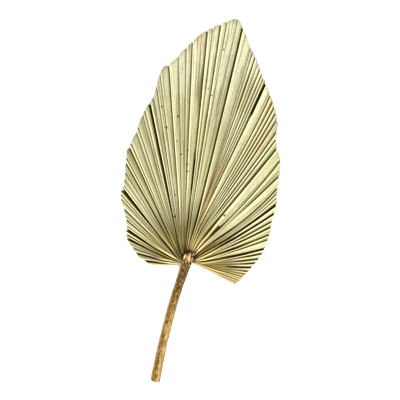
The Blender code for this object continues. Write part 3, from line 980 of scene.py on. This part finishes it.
def leaf_material():
    n = LeafNodes()
    colour = straw_colour(n)
    for paint in (
        hub_colour, burnt_colour, stained_and_shaded_colour, grained_colour, crest_highlight_colour, fold_colour, spotted_colour,
    ):
        colour = paint(n, colour)
    n.link(colour, n.shader.inputs["Base Color"])
    n.link(n.ramp(n.streak, 0.3, 0.7, 0.7, 0.55), n.shader.inputs["Roughness"])
    sheen = n.times(n.ramp(n.dark, 0.0, 0.4, 0.12, 0.0), n.ramp(n.reach, *SHEEN_FADE))
    n.link(sheen, n.shader.inputs["Specular IOR Level"])
    n.bump(n.plus(n.streak, n.times(n.thread, 0.6)), 0.45, 0.0004)
    return n.material


def stalk_centre(y):
    """x and half width of the stalk at a place along it."""
    xs, ys, widths = zip(*STALK_STATIONS[::-1])
    return float(np.interp(y, ys, xs)), float(np.interp(y, ys, widths))


def stalk_rings():
    """Place along the stalk and share of its thickness, from the round hub end to the cut end."""
    length = -STALK_STATIONS[-1][1]
    full = STALK_STATIONS[0][2]
    rings = []
    for step in range(DOME_RINGS):
        turn = math.pi / 2.0 * (1.0 - step / DOME_RINGS)
        rings.append((full * math.sin(turn), max(0.05, math.cos(turn))))
    for step in range(STALK_RINGS + 1):
        rings.append((-length * step / STALK_RINGS, 1.0 if step < STALK_RINGS else 0.98))
    for step in range(1, END_RINGS + 1):
        turn = math.pi / 2.0 * step / END_RINGS
        rings.append((-length - END_BULGE * math.sin(turn), 0.04 + 0.92 * math.cos(turn)))
    return rings


def build_stalk():
    length = -STALK_STATIONS[-1][1]
    rings = stalk_rings()
    points = []
    values = {"along": [], "around": [], "end": []}
    for y, scale in rings:
        x, half = stalk_centre(min(y, 0.0))
        share = min(max(-y / length, 0.0), 1.0)
        seat = half * STALK_FLATNESS + STALK_ARCH * math.sin(math.pi * share)
        for side in range(STALK_SIDES):
            turn = 2.0 * math.pi * side / STALK_SIDES
            ripple = noise.noise(Vector((3.0 * math.cos(turn), 3.0 * math.sin(turn), y * 0.03)))
            knot = noise.noise(Vector((math.cos(turn), math.sin(turn), y * 0.12)))
            radius = half * scale * (1.0 + RIPPLE * ripple + KNOTS * knot - 0.02)
            points.append((x + radius * math.cos(turn), y, seat + STALK_FLATNESS * radius * math.sin(turn)))
            values["along"].append(share)
            values["around"].append(side / STALK_SIDES)
            values["end"].append(1.0 if y < -length else 0.0)
    piece = mesh_piece("stalk_wood", points, tube_faces(len(rings), STALK_SIDES), values)
    piece.data.materials.append(stalk_material())
    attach(piece, "root")
    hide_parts("leaf_stalk")
    return piece


def stalk_material():
    n = Nodes("dried_stalk_wood")
    along = n.attribute("along")
    around = n.attribute("around")
    grain = n.streaks(around, along, WOOD_GRAIN_STEPS, 3.0, 0.7)
    patch = n.streaks(around, along, WOOD_PATCH_STEPS, 3.0, 0.7)
    fleck = n.streaks(around, along, WOOD_FLECK_STEPS, 2.0, 0.6)
    colour = n.mix(n.ramp(grain, 0.42, 0.55), WOOD_BROWN, WOOD_GOLD)
    upper = n.times(n.ramp(along, *UPPER_FADE), n.window(around, *UPPER_SIDE))
    colour = n.mix(upper, colour, n.mix(n.ramp(grain, 0.44, 0.57), WOOD_BLACK, WOOD_OLIVE))
    dapple = n.times(n.ramp(patch, 0.42, 0.50, 0.9, 0.0), n.window(around, *DAPPLED_SIDE))
    colour = n.mix(dapple, colour, WOOD_DARK)
    groove = n.times(n.window(around, *GROOVE), n.ramp(along, *GROOVE_FADE))
    colour = n.mix(n.times(groove, n.ramp(grain, 0.40, 0.60, 1.0, 0.3)), colour, WOOD_DARK)
    # Pale rib on the right side, partly painted light where the stalk faces the lamp
    light = n.times(n.window(around, *LIGHT_RIB), n.ramp(along, *LIGHT_RIB_FADE))
    colour = n.mix(n.times(light, n.ramp(grain, 0.35, 0.6, 0.1, 0.6)), colour, WOOD_EDGE)
    left = n.times(n.window(around, *LEFT_RIB), n.ramp(grain, 0.3, 0.6, 0.3, 0.85))
    colour = n.mix(left, colour, WOOD_EDGE)
    colour = n.mix(n.ramp(fleck, 0.60, 0.66, 0.0, 0.75), colour, WOOD_EDGE)
    # Painted shade along the stalk's two rims
    rim_shade = n.plus(n.ramp(around, *RIGHT_RIM_SHADE), n.window(around, *LEFT_RIM_SHADE))
    colour = n.mix(rim_shade, colour, WOOD_DARK)
    pith = n.mix(n.ramp(n.noise(n.place(), 1800.0, 2.0, 0.5), 0.4, 0.6), PITH_BROWN, WOOD_GOLD)
    colour = n.mix(n.attribute("end"), colour, pith)
    n.link(colour, n.shader.inputs["Base Color"])
    n.link(n.ramp(grain, 0.3, 0.7, 0.65, 0.5), n.shader.inputs["Roughness"])
    n.shader.inputs["Specular IOR Level"].default_value = 0.05
    n.bump(n.plus(grain, patch), 0.7, 0.0006)
    return n.material


def strand(start, end, half_width, lift, curl):
    """A lobe or fibre from start to end, with blunt ends, arched by lift and bent by curl."""
    line = Vector(end) - Vector(start)
    side = Vector((line.y, -line.x, 0.0)).normalized()
    up = Vector((0.0, 0.0, 1.0))
    points = []
    for ring in range(STRAND_RINGS + 1):
        t = ring / STRAND_RINGS
        middle = Vector(start) + line * t + up * lift * math.sin(math.pi * t) + side * curl * t * t
        girth = half_width * math.sin(math.pi * (STRAND_END + (1.0 - 2.0 * STRAND_END) * t)) ** 0.5
        for corner in range(STRAND_SIDES):
            turn = 2.0 * math.pi * corner / STRAND_SIDES
            spoke = math.cos(turn) * side + STRAND_FLATNESS * math.sin(turn) * up
            lump = 1.0 + LOBE_LUMPS * noise.noise(middle * 0.9 + spoke)
            points.append(middle + girth * lump * spoke)
    faces = tube_faces(STRAND_RINGS + 1, STRAND_SIDES)
    return [tuple(point) for point in points], faces


def tube_faces(rings, sides):
    """Quads of a tube laid out ring by ring, with both ends closed."""
    faces = []
    for r in range(rings - 1):
        for side in range(sides):
            a = r * sides + side
            b = r * sides + (side + 1) % sides
            faces.append((a, b, b + sides, a + sides))
    last = (rings - 1) * sides
    return [*faces, tuple(range(sides))[::-1], tuple(range(last, last + sides))]


def knob_core():
    """The lumpy head under the fibres."""
    points = []
    for band in range(CORE_BANDS + 1):
        tilt = CORE_POLE + (math.pi - 2.0 * CORE_POLE) * band / CORE_BANDS
        for side in range(CORE_SIDES):
            turn = 2.0 * math.pi * side / CORE_SIDES
            direction = Vector((math.cos(turn), math.sin(turn), 2.0 * math.cos(tilt)))
            lump = 1.0 + sum(size * noise.noise(steps * direction) for size, steps in CORE_LUMPS)
            x = KNOB_CENTRE[0] + KNOB_HALF_SIZE[0] * lump * math.sin(tilt) * math.cos(turn)
            y = KNOB_CENTRE[1] + KNOB_HALF_SIZE[1] * lump * math.sin(tilt) * math.sin(turn)
            points.append((x, y, KNOB_CENTRE[2] + KNOB_HALF_SIZE[2] * lump * math.cos(tilt)))
    return points, tube_faces(CORE_BANDS + 1, CORE_SIDES)


def build_knob():
    points, faces = knob_core()
    values = {"paleness": [0.0] * len(points), "along": [0.0] * len(points)}
    for number, (start, end, half_width, height, paleness) in enumerate(KNOB_LOBES):
        curl = LOBE_CURL * math.sin(2.3 * number)
        level = height - LOBE_SINK
        more, quads = strand((*start, level), (*end, level), half_width, LOBE_ARCH, curl)
        faces += [tuple(corner + len(points) for corner in face) for face in quads]
        points += more
        values["paleness"] += [paleness] * len(more)
        values["along"] += [i // STRAND_SIDES / STRAND_RINGS for i in range(len(more))]
    piece = mesh_piece("stalk_knob", points, faces, values)
    piece.data.materials.append(knob_material())
    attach(piece, "root")
    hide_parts("leaf_stalk")
    return piece


def knob_material():
    n = Nodes("torn_fibre_knob")
    paleness = n.attribute("paleness")
    along = n.attribute("along")
    grain = n.noise(n.stretched(n.place(), (1.0, 0.3, 0.6)), 1100.0, 3.0, 0.65)
    colour = n.mix(n.ramp(grain, 0.38, 0.60), KNOB_BROWN, KNOB_TAN)
    colour = n.mix(n.times(paleness, n.ramp(along, 0.05, 0.3, 0.3, 1.0)), colour, KNOB_CREAM)
    # Painted shade where the lobes' ends tuck under one another and into the knob
    ends = n.plus(n.ramp(along, 0.0, 0.2, 0.85, 0.0), n.ramp(along, 0.88, 1.0, 0.0, 0.6))
    colour = n.mix(ends, colour, KNOB_SHADE)
    n.link(colour, n.shader.inputs["Base Color"])
    n.link(n.ramp(grain, 0.3, 0.7, 0.7, 0.5), n.shader.inputs["Roughness"])
    n.shader.inputs["Specular IOR Level"].default_value = 0.10
    n.bump(grain, 0.6, 0.0004)
    return n.material


def build_floor():
    bpy.ops.mesh.primitive_plane_add(size=FLOOR_SIZE, location=(0.0, 0.0, -FLOOR_DROP))
    floor = bpy.context.object
    floor.name = "studio_floor"
    n = Nodes("pale_floor")
    n.shader.inputs["Base Color"].default_value = FLOOR_COLOUR
    n.shader.inputs["Roughness"].default_value = 0.9
    floor.data.materials.append(n.material)


def picture_down():
    """Direction on the table that points to the picture's lower edge."""
    lean = math.radians(LEAN)
    return Vector((math.sin(lean), -math.cos(lean), 0.0))


def light_panel(name, place, size, energy):
    """A square soft light that faces the leaf."""
    data = bpy.data.lights.new(name, "AREA")
    data.shape = "SQUARE"
    data.size = size
    data.energy = energy
    panel = bpy.data.objects.new(name, data)
    bpy.context.scene.collection.objects.link(panel)
    panel.location = place
    panel.rotation_euler = (-panel.location).to_track_quat("-Z", "Y").to_euler()


def build_lights():
    bpy.context.scene.world = bpy.data.worlds.new("studio_world")
    scene_world = bpy.context.scene.world
    scene_world.use_nodes = True
    background = scene_world.node_tree.nodes["Background"]
    background.inputs["Color"].default_value = (1.0, 1.0, 1.0, 1.0)
    background.inputs["Strength"].default_value = SKY_STRENGTH
    for name, way_down, shift, size, power in LIGHT_PANELS:
        light_panel(name, picture_down() * way_down + Vector(shift), size, power)


def build_camera():
    data = bpy.data.cameras.new("photo_camera")
    data.sensor_width = SENSOR
    data.lens = SENSOR * CAMERA_HEIGHT / PICTURE_WIDTH
    camera = bpy.data.objects.new("photo_camera", data)
    bpy.context.scene.collection.objects.link(camera)
    camera.location = (PICTURE_MIDDLE[0] * MM, PICTURE_MIDDLE[1] * MM, CAMERA_HEIGHT * MM)
    camera.rotation_euler = (0.0, 0.0, math.radians(LEAN))
    bpy.context.scene.camera = camera


build_blade()
build_stalk()
build_knob()
build_floor()
build_lights()
build_camera()
bpy.context.scene.view_settings.view_transform = "Standard"
